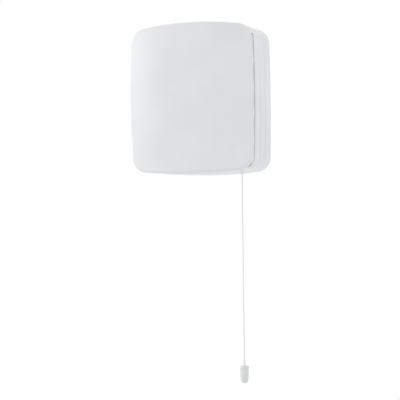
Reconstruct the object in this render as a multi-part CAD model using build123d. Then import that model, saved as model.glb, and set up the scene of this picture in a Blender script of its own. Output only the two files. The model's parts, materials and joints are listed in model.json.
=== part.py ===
from build123d import *
import os
from math import asin, cos, degrees, radians, sin, sqrt

# A wall-mounted centrifugal extractor fan with a pull cord, in millimetres.
# +Z is up, the front faces -Y and the wall is the plane y = 0, with the origin at the
# middle of the back. "Reach" is the distance in front of the wall, so y = -reach, and a
# negative reach lies inside the wall. Faces are drawn in (x, z) and extruded along reach.

# Outer casing
width = 230.0
height = 263.0
depth = 128.0
side_sagitta = 2.3
end_sagitta = 6.8
corner_radius = 27.2
front_bow = 28.0
front_crown = 6.8
edge_round = 6.6
cover_wall = 2.4
cover_step = 0.8
rim_depth = 14.0
shadow_gap = 0.8
edge_chamfer = 0.6

# Back box
plate_thickness = 3.0
rim_wall = 2.5
lip_gap = 0.3
lip_wall = 1.6
lip_height = 6.0
fixing_inset_x = 12.0
fixing_inset_z = 41.5
fixing_radius = 2.6
fixing_pad_radius = 5.0
fixing_pad_height = 2.0

# Side inlets of the cover
slot_width = 10.0
slot_behind_round = 0.4
slot_top = 109.0
slot_bottom = -120.0
slot_web_count = 4
slot_web_thickness = 1.8
slot_web_setback = 5.0
shelf_behind_slot = 5.5
shelf_thickness = 1.5
shelf_width = 8.5
groove_reaches = (56.0, 29.0)
groove_width = 1.3
groove_depth = 1.0
groove_fade_angle = 0.27
groove_top = 92.0
groove_bottom = -112.0

# Push-fit posts of the cover
post_inset_x = 16.4
post_inset_z = 24.5
post_radius = 3.5
peg_radius = 2.2
peg_length = 7.0
socket_wall = 2.4
socket_height = 9.0

# Scroll, a spiral of three quarter arcs that opens into a discharge chamber
moulding_wall = 2.0
impeller_radius = 50.0
inlet_room = 4.6
scroll_gap = 7.0
spiral_step = 9.0
cutoff_angle = 60.0
tongue_round = 5.0
chamber_round = 20.0
chamber_margin_x = 21.5
chamber_margin_z = 15.5
chamber_height = 112.0
motor_headroom = 38.0
motor_bay_depth = 35.0
impeller_floor_gap = 6.0
inlet_gap = 5.6
inlet_radius = 40.0
bell_round = 5.0
lug_radius = 4.5
lug_height = 4.0
boss_radius = 3.6
boss_height = 16.0
boss_floor = 3.0
screw_radius = 1.5
screw_head_radius = 3.0
screw_head_height = 1.8
stub_screw = 4.0
short_screw = 6.0
long_screw = 8.0
recess_span = 2.8
recess_width = 0.7

# Impeller
blade_count = 40
blade_inner_radius = 41.0
blade_thickness = 0.9
blade_sweep = 9.0
blade_camber = 1.9
disc_thickness = 1.6
rim_ring_width = 2.0
rim_ring_height = 3.0
hub_radius = 7.0
hub_length = 16.0
clip_radius = 5.0
clip_thickness = 1.2
hub_foot_radius = 21.0

# Motor
shaft_radius = 2.5
running_gap = 0.05
bearing_radius = 5.0
bearing_length = 5.0
core_reach = 15.0
core_stack = 14.0
core_half_width = 27.0
core_top = 19.0
window_height = 10.5
window_half_width = 15.0
leg_height = 8.0
core_corner = 3.0
rotor_radius = 12.2
air_gap = 0.6
end_ring_width = 3.0
end_ring_recess = 1.5
bobbin_wall = 1.0
bobbin_flange = 1.5
winding_thickness = 5.5
bracket_bar = 2.5
bracket_width = 10.0
bracket_stand = 4.0
bearing_wall = 3.0
foot_overlap = 2.0
tie_offset = 21.0
tie_radius = 2.0
tie_head_radius = 3.6
tie_head_height = 1.6
nut_height = 2.5
nut_radius = 3.8
grommet_neck_radius = 4.0
grommet_flange_radius = 6.0
grommet_flange = 1.5

# Duct spigot and its backdraught flaps
spigot_radius = 49.0
spigot_wall = 2.0
spigot_behind_wall = 42.0
flange_radius = 52.0
flange_thickness = 2.5
flange_ear_offset = 38.9
flange_ear_radius = 5.0
seat_start = 9.5
seat_thickness = 1.5
seat_width = 4.5
flap_clearance = 1.2
flap_thickness = 1.4
flap_seat_gap = 0.3
hinge_line = 14.0
hinge_pin_radius = 1.5
knuckle_radius = 2.8
knuckle_gap = 0.4
knuckle_length = 16.0
spring_bay = 18.0
pin_pad_width = 7.0
pin_pad_depth = 3.2
flap_rib = 1.0
flap_rib_height = 1.2
damper_wire = 0.3
damper_coil_radius = 2.2
damper_turns = 6
seal_width = 8.0
seal_thickness = 1.2
collar_step = 0.6
collar_relief = 0.5
collar_relief_depth = 0.3

# Wiring side
terminal_from_edge = 31.0
terminal_from_top = 69.5
pole_count = 4
pole_pitch = 8.5
terminal_height = 20.0
terminal_depth = 15.0
terminal_step = 3.0
ear_thickness = 3.0
terminal_screw_radius = 1.9
terminal_wire_radius = 1.6
clamp_below_terminal = 30.0
clamp_span = 26.0
clamp_width = 9.0
clamp_rise = 8.0
clamp_foot = 4.0
clamp_slope = 3.0
clamp_sheet = 2.0
cable_below_clamp = 28.0
cable_radius = 4.5
cable_hole_radius = 9.0
rubber_lip = 1.6

# Pull switch and cord
cord_from_edge = 44.3
cord_reach = 33.0
cord_radius = 0.95
switch_width = 42.0
switch_height = 34.0
switch_depth = 25.0
switch_wall = 2.0
switch_ear = 4.0
switch_rim = 1.5
switch_rim_height = 1.2
switch_left_of_cord = 20.0
switch_above_edge = 13.5
nozzle_radius = 4.0
notch_clearance = 0.7
nozzle_recess = 0.8
lever_arm = 16.5
lever_thickness = 2.4
lever_width = 8.0
lever_knuckle_radius = 3.2
lever_pin_radius = 1.5
lever_boss_wall = 1.5
lever_below_top = 12.0
fork_width = 2.8
knot_radius = 2.4
knot_gap = 0.4
return_wire = 0.45
return_coil_radius = 3.0
return_turns = 6
spring_from_cord = 8.0
contact_width = 5.0
contact_thickness = 0.8
contact_from_cord = 6.0
contact_spacing = 10.0
connector_top = -460.0
connector_length = 10.5
connector_radius = 2.4
connector_neck_radius = 1.5
connector_taper = 3.0
acorn_lip_radius = 7.8
acorn_radius = 6.9
acorn_tip_radius = 3.9
acorn_lip_length = 3.2
acorn_body_length = 18.0
acorn_length = 29.5
acorn_edge_round = 0.6

diagonal = cos(radians(45))

# Sizes and places that follow from those above
bow_radius = ((width / 2) ** 2 + front_bow ** 2) / (2 * front_bow)
side_depth = depth - front_bow
side_front = side_depth - edge_round
slot_front = side_front - slot_behind_round
slot_back = slot_front - slot_width
lip_outer_inset = cover_step + cover_wall + lip_gap
lip_inner_inset = lip_outer_inset + lip_wall
cover_start = rim_depth + shadow_gap
post_x = width / 2 - post_inset_x
post_z = height / 2 - post_inset_z

floor_back = plate_thickness + motor_bay_depth
floor_front = floor_back + moulding_wall
impeller_back = floor_front + impeller_floor_gap
plate_front = side_depth - inlet_room - screw_head_height
scroll_front = plate_front - moulding_wall
impeller_front = scroll_front - inlet_gap
first_radius = impeller_radius + scroll_gap
chamber_left = -width / 2 + chamber_margin_x
chamber_top = height / 2 - chamber_margin_z
chamber_bottom = chamber_top - chamber_height
fan_x = chamber_left + first_radius + 2 * spiral_step + spiral_step / 2
fan_z = chamber_bottom - motor_headroom
fan = (fan_x, fan_z)
arc_centres = (
    (fan_x + spiral_step / 2, fan_z - spiral_step / 2),
    (fan_x - spiral_step / 2, fan_z - spiral_step / 2),
    (fan_x - spiral_step / 2, fan_z + spiral_step / 2),
)
chamber_right = arc_centres[0][0] + first_radius * cos(radians(cutoff_angle))
duct = ((chamber_left + chamber_right) / 2, (chamber_top + chamber_bottom) / 2)

core_front = core_reach + core_stack
window_top = -core_top
window_bottom = window_top - window_height
leg_bottom = window_bottom - leg_height
front_bar = core_front + bracket_stand
rear_bar = core_reach - bracket_stand
spigot_inner = spigot_radius - spigot_wall
collar_hole = spigot_radius + collar_step + lip_gap

terminal_x = width / 2 - terminal_from_edge
terminal_z = height / 2 - terminal_from_top
clamp_z = terminal_z - clamp_below_terminal
cable_z = clamp_z - cable_below_clamp
mounting_face = plate_thickness + lug_height

cord_x = width / 2 - cord_from_edge
cord_edge_z = -(height / 2 - cover_step - end_sagitta * (cord_x / (width / 2)) ** 2)
switch_bottom = cord_edge_z + switch_above_edge
switch_left = cord_x - switch_left_of_cord
switch_right = switch_left + switch_width
switch_top = switch_bottom + switch_height
switch_back = cord_reach - switch_depth / 2
switch_front = cord_reach + switch_depth / 2
lever_z = switch_top - lever_below_top
lever_pivot_x = cord_x + lever_arm
knot_z = lever_z + lever_thickness / 2 + knot_gap + knot_radius


def slab(face, start, end):
    """Solid between two reaches, from a face drawn in (x, z)."""
    return extrude(Plane.XZ.offset(start) * face, amount=end - start)


def peg(at, radius, start, end):
    """Round bar along the reach."""
    return slab(Pos(*at) * Circle(radius), start, end)


def tube(at, outer, inner, start, end):
    """Round tube along the reach."""
    return slab(Pos(*at) * (Circle(outer) - Circle(inner)), start, end)


def block(x_range, z_range, start, end):
    """Box given by its x and z limits and its two reaches."""
    size_x, size_z = x_range[1] - x_range[0], z_range[1] - z_range[0]
    middle = Pos((x_range[0] + x_range[1]) / 2, (z_range[0] + z_range[1]) / 2)
    return slab(middle * Rectangle(size_x, size_z), start, end)


def post(x, reach, radius, bottom, top):
    """Round bar along Z."""
    return extrude(Plane.XY.offset(bottom) * Pos(x, -reach) * Circle(radius), amount=top - bottom)


def turned(at, points):
    """Revolves a closed outline of (radius, reach) points about the line of a shaft."""
    outline = Polyline([(radius, -reach) for radius, reach in points], close=True)
    return Pos(at[0], 0, at[1]) * revolve(make_face(outline), Axis.Y, 360)


def bowed_outline(inset):
    """The casing's outline: four shallow arcs with rounded corners, set in by a distance."""
    side, end = width / 2 - inset, height / 2 - inset
    corner_x, corner_z = side - side_sagitta, end - end_sagitta
    arcs = [
        ThreePointArc((corner_x, -corner_z), (side, 0), (corner_x, corner_z)),
        ThreePointArc((corner_x, corner_z), (0, end), (-corner_x, corner_z)),
        ThreePointArc((-corner_x, corner_z), (-side, 0), (-corner_x, -corner_z)),
        ThreePointArc((-corner_x, -corner_z), (0, -end), (corner_x, -corner_z)),
    ]
    face = make_face(Curve() + arcs)
    return fillet(face.vertices(), corner_radius - inset)


def outline_ring(outer_inset, inner_inset, start, end):
    """A wall that follows the casing's outline."""
    return slab(bowed_outline(outer_inset) - bowed_outline(inner_inset), start, end)


def barrel(inset):
    """The front's barrel shape: a shallow upright arc revolved about a line behind the wall."""
    radius = bow_radius - inset
    half = height / 2 + corner_radius
    edge_radius = radius - front_crown * (half / (height / 2)) ** 2
    arc = ThreePointArc((edge_radius, -half), (radius, 0), (edge_radius, half))
    rest = Polyline((edge_radius, half), (0, half), (0, -half), (edge_radius, -half))
    profile = make_face(Curve() + [arc, rest])
    return Pos(0, bow_radius - depth, 0) * revolve(Plane.XZ * profile, Axis.Z, 360)


def cover_form(inset, start):
    """The cover's solid form, with its front edge rolled over, set in by a distance."""
    solid = slab(bowed_outline(cover_step + inset), start, depth + edge_round) & barrel(inset)
    front_edges = [edge for edge in solid.edges() if -edge.center().Y > 0.8 * side_depth]
    return fillet(front_edges, edge_round - inset)


def both_sides(solid):
    """A solid and its mirror image on the other side of the casing."""
    return solid + mirror(solid, Plane.YZ)


def side_slot():
    """The open air inlet just behind the rolled front edge, on the right."""
    through = bowed_outline(0) - bowed_outline(cover_step + cover_wall + lip_gap)
    return slab(through & side_zone(slot_bottom, slot_top), slot_back, slot_front)


def side_zone(bottom, top):
    """The part of the (x, z) drawing that holds the right-hand wall between two heights."""
    middle = Pos(width / 2, (bottom + top) / 2)
    return middle * Rectangle(2 * corner_radius, top - bottom)


def side_groove(reach):
    """A louvre line that follows the right-hand wall and fades out towards the top."""
    fade = Rot(0, 0, -groove_fade_angle) * bowed_outline(cover_step + groove_depth / 2)
    ring = (bowed_outline(0) - fade) & side_zone(groove_bottom, groove_top)
    return slab(ring, reach - groove_width / 2, reach + groove_width / 2)


def slot_web(z):
    """A web behind the side slot that ties the front edge to the side wall."""
    outer = width / 2
    back = width / 2 - cover_step - cover_wall - slot_web_setback
    deep = back - 2 * slot_web_setback
    outline = Polyline(
        (outer, -(slot_back - slot_width)),
        (back, -(slot_back - slot_width)),
        (deep, -slot_back),
        (deep, -depth),
        (back + cover_wall, -depth),
        (back + cover_wall, -slot_back),
        (outer, -slot_back),
        close=True,
    )
    plan = Plane.XY.offset(z - slot_web_thickness / 2) * make_face(outline)
    return extrude(plan, amount=slot_web_thickness)


def slot_shelf():
    """The shelf behind the side slot that hides the inside and keeps splashes out."""
    inset = cover_step + cover_wall
    ledge = bowed_outline(inset / 2) - bowed_outline(inset + shelf_width)
    front = slot_back - shelf_behind_slot
    return slab(ledge & side_zone(slot_bottom, slot_top), front - shelf_thickness, front)


def cord_notch(clearance):
    """Plan of the slot in the bottom wall that the cord's nozzle sits in."""
    half = nozzle_radius + clearance
    straight = Pos(cord_x, -cord_reach / 2) * Rectangle(2 * half, cord_reach)
    face = straight + Pos(cord_x, -cord_reach) * Circle(half)
    return extrude(Plane.XY.offset(cord_edge_z - cover_wall) * face, amount=switch_above_edge)


def post_places():
    """The four corners where the cover pushes on to the base."""
    return [(x, z) for x in (-post_x, post_x) for z in (-post_z, post_z)]


def front_cover():
    """The one-piece cover: a bowed front, side walls with slots and grooves, and four posts."""
    cover = cover_form(0, cover_start) - cover_form(cover_wall, cover_start - lip_height)
    span = slot_top - slot_bottom
    pitch = span / (slot_web_count + 1)
    webs = Part() + [slot_web(slot_bottom + pitch * (i + 1)) for i in range(slot_web_count)]
    shoulder = plate_thickness + socket_height + shadow_gap
    posts = Part() + [peg(at, post_radius, shoulder, depth) for at in post_places()]
    cover += (both_sides(webs + slot_shelf()) + posts) & cover_form(cover_wall / 2, plate_thickness)
    for at in post_places():
        cover += peg(at, peg_radius, shoulder - peg_length, shoulder + peg_radius)
    cuts = side_slot()
    for reach in groove_reaches:
        cuts += side_groove(reach)
    return cover - both_sides(cuts) - cord_notch(notch_clearance)


def back_box():
    """The base: back plate, visible rim, cover lip, sockets, posts and a tab behind the cord."""
    box = slab(bowed_outline(0), 0, plate_thickness)
    box = chamfer(box.edges().group_by(Axis.Y)[-1], edge_chamfer)
    box += outline_ring(0, rim_wall, plate_thickness, rim_depth)
    box += outline_ring(rim_wall / 2, lip_inner_inset, rim_depth - rim_wall, rim_depth)
    box += outline_ring(lip_outer_inset, lip_inner_inset, plate_thickness, rim_depth + lip_height)
    box += outline_ring(rim_wall / 2, lip_outer_inset + lip_wall / 2, plate_thickness, 2 * plate_thickness)
    box += notch_tab()
    for at in post_places():
        box += peg(at, peg_radius + socket_wall, plate_thickness, plate_thickness + socket_height)
        box -= peg(at, peg_radius + lip_gap, plate_thickness, plate_thickness + socket_height)
    side, end = width / 2 - fixing_inset_x, height / 2 - fixing_inset_z
    fixings = [(x * side, z * end) for x in (-1, 1) for z in (-1, 1)]
    for at in fixings:
        box += peg(at, fixing_pad_radius, plate_thickness, plate_thickness + fixing_pad_height)
        box -= peg(at, fixing_radius, 0, plate_thickness + fixing_pad_height)
    for at in scroll_lugs():
        box += peg(at, boss_radius, plate_thickness, mounting_face)
        box -= peg(at, screw_radius, plate_thickness / 2, mounting_face)
    for at in switch_screw_places():
        box += tube(at, boss_radius, screw_radius, plate_thickness, switch_back)
    for at in terminal_screw_places() + clamp_screw_places():
        box += tube(at, boss_radius, screw_radius, plate_thickness, mounting_face)
    for at in flange_ears():
        box -= peg(at, screw_radius, plate_thickness / 2, plate_thickness)
    box -= peg(duct, collar_hole, 0, plate_thickness)
    box -= peg(duct, collar_hole + seal_width, 0, seal_thickness)
    box -= peg((terminal_x, cable_z), cable_hole_radius, 0, plate_thickness)
    return box


def notch_tab():
    """The tab of the rim that closes the cover's cord notch behind the nozzle."""
    wall = bowed_outline(cover_step) - bowed_outline(cover_step + cover_wall)
    zone = Pos(cord_x, cord_edge_z) * Rectangle(2 * nozzle_radius, 6 * cover_wall)
    tab = slab(wall & zone, rim_depth - rim_wall, cord_reach)
    clear = nozzle_radius + notch_clearance
    return tab - post(cord_x, cord_reach, clear, cord_edge_z - cover_wall, switch_bottom)


def on_arc(index, radius_out, angle):
    """A point outside one of the scroll's three arcs."""
    centre = arc_centres[index]
    radius = first_radius + index * spiral_step + moulding_wall + radius_out
    return (centre[0] + radius * cos(radians(angle)), centre[1] + radius * sin(radians(angle)))


def scroll_lugs():
    """Where the scroll is screwed to the back plate."""
    return [
        on_arc(1, lug_radius + 1, -36),
        on_arc(2, lug_radius + 1, 225),
        (chamber_right + moulding_wall + lug_radius + 1, chamber_top - chamber_round),
        (chamber_left - moulding_wall - lug_radius, chamber_bottom + chamber_round),
    ]


def inlet_bosses():
    """Where the inlet plate is screwed to the scroll."""
    return [
        on_arc(0, boss_radius - moulding_wall / 2, 15),
        on_arc(1, boss_radius - moulding_wall / 2, -65),
        on_arc(2, boss_radius - moulding_wall / 2, 200),
        (duct[0], chamber_top + moulding_wall / 2 + boss_radius),
        (chamber_right + moulding_wall / 2 + boss_radius, duct[1]),
    ]


def scroll_face(extra):
    """The air passage's outline, grown by a distance: spiral, discharge chamber and tongue."""
    radii = [first_radius + index * spiral_step + extra for index in range(3)]
    left, right, top = chamber_left - extra, chamber_right + extra, chamber_top + extra
    first, second, third = arc_centres
    tongue_angle = degrees(asin(sqrt(1 - ((right - first[0]) / radii[0]) ** 2)))
    tongue = (right, first[1] + radii[0] * sin(radians(tongue_angle)))
    half = radians(tongue_angle / 2)
    middle = (first[0] + radii[0] * cos(half), first[1] + radii[0] * sin(half))
    edges = [
        ThreePointArc(tongue, middle, (first[0] + radii[0], first[1])),
        ThreePointArc(
            (second[0] + radii[1], second[1]),
            (second[0] + radii[1] * diagonal, second[1] - radii[1] * diagonal),
            (second[0], second[1] - radii[1]),
        ),
        ThreePointArc(
            (third[0], third[1] - radii[2]),
            (third[0] - radii[2] * diagonal, third[1] - radii[2] * diagonal),
            (third[0] - radii[2], third[1]),
        ),
        Polyline((left, third[1]), (left, top), (right, top), tongue),
    ]
    face = make_face(Curve() + edges)
    corners = [v for v in face.vertices() if abs(v.Y - top) < 0.01]
    face = fillet(corners, chamber_round + extra)
    nose = [v for v in face.vertices() if abs(v.X - tongue[0]) + abs(v.Y - tongue[1]) < 0.01]
    return fillet(nose, tongue_round - extra)


def scroll_housing():
    """The scroll moulding: its wall, the floor in front of the motor, lugs and screw bosses."""
    wall = scroll_face(moulding_wall) - scroll_face(0)
    scroll = slab(wall, plate_thickness, scroll_front)
    inner = (chamber_left - moulding_wall / 2, chamber_right + moulding_wall / 2)
    below = Pos(fan_x, chamber_bottom - height / 2) * Rectangle(width, height)
    scroll += slab(scroll_face(moulding_wall / 2) & below, floor_back, floor_front)
    step = (chamber_bottom - moulding_wall, chamber_bottom)
    scroll += block(inner, step, plate_thickness, floor_front)
    lug_front = mounting_face + moulding_wall
    for at in scroll_lugs():
        lug = peg(at, lug_radius, mounting_face, lug_front) + lug_bridge(at)
        scroll += lug - slab(scroll_face(moulding_wall / 2), 0, depth)
        scroll -= peg(at, screw_radius + lip_gap, mounting_face, lug_front)
    for at in inlet_bosses():
        boss = peg(at, boss_radius, scroll_front - boss_height, scroll_front)
        scroll += boss - slab(scroll_face(moulding_wall / 2), 0, depth)
        scroll -= peg(at, screw_radius, scroll_front - boss_height + boss_floor, scroll_front)
    scroll -= peg(fan, bearing_radius + 2 * moulding_wall, floor_back, floor_front)
    for at in tie_places():
        scroll -= peg(at, grommet_neck_radius, floor_back, floor_front)
    return scroll


def lug_bridge(at):
    """A square root that joins a lug to the scroll's wall beside it."""
    across = fan if at[1] < chamber_bottom else (duct[0], at[1])
    length = lug_radius + moulding_wall
    dx, dz = across[0] - at[0], across[1] - at[1]
    scale = length / sqrt(dx * dx + dz * dz)
    end = (at[0] + dx * scale, at[1] + dz * scale)
    foot = trace(Line(at, end), 2 * lug_radius)
    return slab(foot, mounting_face, mounting_face + moulding_wall)


def inlet_plate():
    """The scroll's front: a flat plate with a bell-mouth that dips towards the impeller."""
    face = scroll_face(moulding_wall)
    for at in inlet_bosses():
        face += Pos(*at) * Circle(boss_radius)
    plate = slab(face, scroll_front, plate_front)
    plate -= peg(fan, inlet_radius + bell_round, scroll_front, plate_front)
    outer = bell_round + moulding_wall
    centre = (inlet_radius + outer, plate_front - outer)
    bell = make_face(Curve() + [
        ThreePointArc(
            (centre[0], -(centre[1] + outer)),
            (centre[0] - outer * diagonal, -(centre[1] + outer * diagonal)),
            (centre[0] - outer, -centre[1]),
        ),
        Line((centre[0] - outer, -centre[1]), (centre[0] - bell_round, -centre[1])),
        ThreePointArc(
            (centre[0] - bell_round, -centre[1]),
            (centre[0] - bell_round * diagonal, -(centre[1] + bell_round * diagonal)),
            (centre[0], -(centre[1] + bell_round)),
        ),
        Line((centre[0], -(centre[1] + bell_round)), (centre[0], -(centre[1] + outer))),
    ])
    plate += Pos(fan_x, 0, fan_z) * revolve(bell, Axis.Y, 360)
    for at in inlet_bosses():
        plate -= peg(at, screw_radius + lip_gap, scroll_front, plate_front)
    return plate


def blade_face():
    """One forward-curved blade, seen along the shaft and cupped in the sense of rotation."""
    outer = impeller_radius - blade_thickness / 2
    sweep = radians(blade_sweep)
    tip = (outer * cos(sweep), -outer * sin(sweep))
    middle = ((blade_inner_radius + tip[0]) / 2, tip[1] / 2 + blade_camber)
    return trace(ThreePointArc((blade_inner_radius, 0), middle, tip), blade_thickness)


def impeller():
    """The wheel: a back disc with a hub, a ring of blades and a rim ring at the front."""
    back, front = impeller_back, impeller_front
    wheel = turned(fan, [
        (shaft_radius, back),
        (impeller_radius, back),
        (impeller_radius, back + disc_thickness),
        (hub_foot_radius, back + disc_thickness),
        (hub_radius, back + hub_length / 3),
        (hub_radius, back + hub_length),
        (shaft_radius, back + hub_length),
    ])
    blades = Sketch() + [place * blade_face() for place in PolarLocations(0, blade_count)]
    wheel += Pos(fan_x, 0, fan_z) * slab(blades, back + disc_thickness / 2, front)
    ring_inner = impeller_radius - rim_ring_width
    wheel += tube(fan, impeller_radius, ring_inner, front - rim_ring_height, front)
    return wheel


def impeller_clip():
    """The push-on washer that keeps the wheel on its shaft."""
    start = impeller_back + hub_length
    return tube(fan, clip_radius, shaft_radius, start, start + clip_thickness)


def motor_shaft():
    """The steel shaft, from the rear bearing to just past the clip."""
    start = rear_bar - bracket_bar
    end = impeller_back + hub_length + 2 * clip_thickness
    shaft = peg(fan, shaft_radius, start, end)
    return chamfer(shaft.edges().group_by(Axis.Y)[0], edge_chamfer)


def rotor_core():
    """The motor's cast rotor, pressed on the shaft, with an end ring at each face."""
    start, end = core_reach, core_front
    outer, inner = rotor_radius - end_ring_width, shaft_radius + end_ring_width
    rotor = tube(fan, rotor_radius, shaft_radius, start, end)
    rotor -= tube(fan, outer, inner, start, start + end_ring_recess)
    return rotor - tube(fan, outer, inner, end - end_ring_recess, end)


def tie_places():
    """The two screws that hold the motor together and to the scroll."""
    return [(fan_x - tie_offset, fan_z), (fan_x + tie_offset, fan_z)]


def leg_range():
    return (fan_z + leg_bottom, fan_z + window_bottom)


def stator_core():
    """The lamination stack: a bore for the rotor above, a window and a leg for the coil."""
    across = (fan_x - core_half_width, fan_x + core_half_width)
    stack = block(across, (fan_z + leg_bottom, fan_z + core_top), core_reach, core_front)
    stack = chamfer(stack.edges().filter_by(Axis.Y), core_corner)
    window = (fan_x - window_half_width, fan_x + window_half_width)
    stack -= block(window, (fan_z + window_bottom, fan_z + window_top), core_reach, core_front)
    stack -= peg(fan, rotor_radius + air_gap, core_reach, core_front)
    for at in tie_places():
        stack -= peg(at, tie_radius, core_reach, core_front)
    return stack


def around_leg(half_length, outer, inner):
    """A rectangular sleeve around the coil's leg, between two distances from its iron."""
    low, high = leg_range()
    start, end = core_reach, core_front
    x_range = (fan_x - half_length, fan_x + half_length)
    body = block(x_range, (low - outer, high + outer), start - outer, end + outer)
    body = fillet(body.edges().filter_by(Axis.X), outer - inner / 2)
    return body - block(x_range, (low - inner, high + inner), start - inner, end + inner)


def coil_bobbin():
    """The coil's former, with a flange at each end."""
    half = window_half_width - lip_gap
    bobbin = around_leg(half, bobbin_wall + lip_gap, lip_gap)
    flange_outer = winding_thickness + bobbin_wall + lip_gap
    flanges = around_leg(half, flange_outer, lip_gap)
    middle = half - bobbin_flange
    core = block((fan_x - middle, fan_x + middle), (fan_z - height, fan_z), 0, depth)
    return bobbin + (flanges - core)


def motor_winding():
    """The wound and taped coil between the bobbin's flanges."""
    half = window_half_width - lip_gap - bobbin_flange
    return around_leg(half, winding_thickness + bobbin_wall, bobbin_wall + lip_gap)


def bracket(bar_start, stand_start, stand_end, boss_start, boss_end, pocket_start, pocket_end):
    """A die-cast bridge across the rotor, with a foot on each tie screw and a bearing boss."""
    span = (fan_x - tie_offset, fan_x + tie_offset)
    across = (fan_z - bracket_width / 2, fan_z + bracket_width / 2)
    bar = block(span, across, bar_start, bar_start + bracket_bar)
    for at in tie_places():
        bar += peg(at, bracket_width / 2, bar_start, bar_start + bracket_bar)
        bar += peg(at, tie_head_radius, stand_start, stand_end)
        bar -= peg(at, tie_radius, 0, depth)
    bar += peg(fan, bearing_radius + bearing_wall, boss_start, boss_end)
    bar -= peg(fan, bearing_radius, pocket_start, pocket_end)
    return bar - peg(fan, shaft_radius + lip_gap, rear_bar - bracket_bar, depth)


def front_bearing_start():
    return front_bar


def rear_bearing_start():
    return rear_bar - bracket_bar


def bracket_front():
    """The bridge between the rotor and the impeller."""
    start = front_bearing_start()
    end = start + bearing_length
    return bracket(front_bar, core_front, front_bar, core_front + foot_overlap, end, start, end)


def bracket_rear():
    """The bridge on the wall side of the rotor, closed behind its bearing."""
    start = rear_bearing_start()
    end = start + bearing_length
    boss = (start - foot_overlap, core_reach - foot_overlap)
    return bracket(rear_bar - bracket_bar, rear_bar, core_reach, *boss, start, end)


def bearing(start):
    """A sintered bush that the shaft turns in."""
    return tube(fan, bearing_radius, shaft_radius + running_gap, start, start + bearing_length)


def motor_grommets():
    """Rubber rings between the motor and the scroll's floor."""
    rings = Part()
    for at in tie_places():
        ring = peg(at, grommet_neck_radius, front_bar + bracket_bar, floor_front + grommet_flange)
        ring += peg(at, grommet_flange_radius, front_bar + bracket_bar, floor_back)
        ring += peg(at, grommet_flange_radius, floor_front, floor_front + grommet_flange)
        rings += ring - peg(at, tie_radius, 0, depth)
    return rings


def motor_tie_screws():
    """Long screws through grommets, bridges and stack, each with its nut."""
    screws = Part()
    head = floor_front + grommet_flange
    nut = rear_bar - bracket_bar
    for at in tie_places():
        screw = peg(at, tie_radius, nut - nut_height - tie_radius / 2, head)
        screw += peg(at, tie_head_radius, head, head + tie_head_height)
        slot = Pos(*at) * Rectangle(2 * tie_head_radius, tie_radius / 2)
        screw -= slab(slot, head + tie_head_height / 2, depth)
        hexagon = Pos(*at) * RegularPolygon(nut_radius, 6)
        screws += screw + slab(hexagon, nut - nut_height, nut)
    return screws


def pan_screw(at, seat, length):
    """A pan-head screw driven from the front, with a cross recess."""
    head = peg(at, screw_head_radius, seat, seat + screw_head_height)
    head = fillet(head.edges().group_by(Axis.Y)[0], screw_head_height / 2)
    screw = peg(at, screw_radius, seat - length, seat) + head
    cross = Rectangle(recess_span, recess_width) + Rectangle(recess_width, recess_span)
    return screw - slab(Pos(*at) * cross, seat + screw_head_height / 2, depth)


def screws(places, seat, length):
    """A set of like screws in one group."""
    return Part() + [pan_screw(at, seat, length) for at in places]


def flange_ears():
    """Where the spigot's flange is screwed to the back plate."""
    offset = flange_ear_offset
    return [(duct[0] + x * offset, duct[1] + z * offset) for x in (-1, 1) for z in (-1, 1)]


def duct_spigot():
    """The round duct collar: a step in the plate, a flange, the flaps' seat and pin pads."""
    flange_front = plate_thickness + flange_thickness
    collar = tube(duct, spigot_radius, spigot_inner, -spigot_behind_wall, 0)
    collar = chamfer(collar.edges().group_by(Axis.Y)[-1], edge_chamfer)
    collar -= tube(duct, flange_radius, spigot_radius - collar_relief_depth, -collar_relief, 0)
    collar += tube(duct, spigot_radius + collar_step, spigot_inner, 0, flange_front)
    collar += tube(duct, flange_radius, spigot_inner, plate_thickness, flange_front)
    for at in flange_ears():
        ear = peg(at, flange_ear_radius, plate_thickness, flange_front)
        ear += slab(trace(Line(at, duct), 2 * flange_ear_radius), plate_thickness, flange_front)
        collar += ear - peg(duct, spigot_radius, 0, depth)
        collar -= peg(at, screw_radius + lip_gap, plate_thickness, flange_front)
    seat_end = seat_start + seat_thickness
    seat_outer, seat_inner = spigot_inner + spigot_wall / 2, spigot_inner - seat_width
    collar += tube(duct, seat_outer, seat_inner, -seat_end, -seat_start)
    for side in (-1, 1):
        inner = duct[1] + side * (spigot_inner - pin_pad_depth)
        outer = duct[1] + side * (spigot_inner + spigot_wall / 2)
        x_range = (duct[0] - pin_pad_width / 2, duct[0] + pin_pad_width / 2)
        pad = block(x_range, sorted((inner, outer)), -(hinge_line + knuckle_radius), -seat_start)
        collar += pad
    pin = pin_half_length()
    return collar - post(duct[0], -hinge_line, hinge_pin_radius, duct[1] - pin, duct[1] + pin)


def pin_half_length():
    return spigot_inner - lip_gap


def damper_pin():
    """The steel pin that both flaps hang on."""
    half = pin_half_length()
    return post(duct[0], -hinge_line, hinge_pin_radius, duct[1] - half, duct[1] + half)


def spigot_seal():
    """A foam ring let into the back plate, between the fan and the wall."""
    return tube(duct, collar_hole + seal_width, collar_hole, 0, seal_thickness)


def flap_knuckles(side):
    """The stretches of the hinge that belong to one flap, as heights from the duct's middle."""
    inner = spring_bay / 2 + knuckle_gap
    first = (inner, inner + knuckle_length)
    second = (inner + knuckle_length + knuckle_gap, inner + 2 * knuckle_length + knuckle_gap)
    if side < 0:
        return [first, (-second[1], -second[0])]
    return [(-first[1], -first[0]), second]


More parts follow.
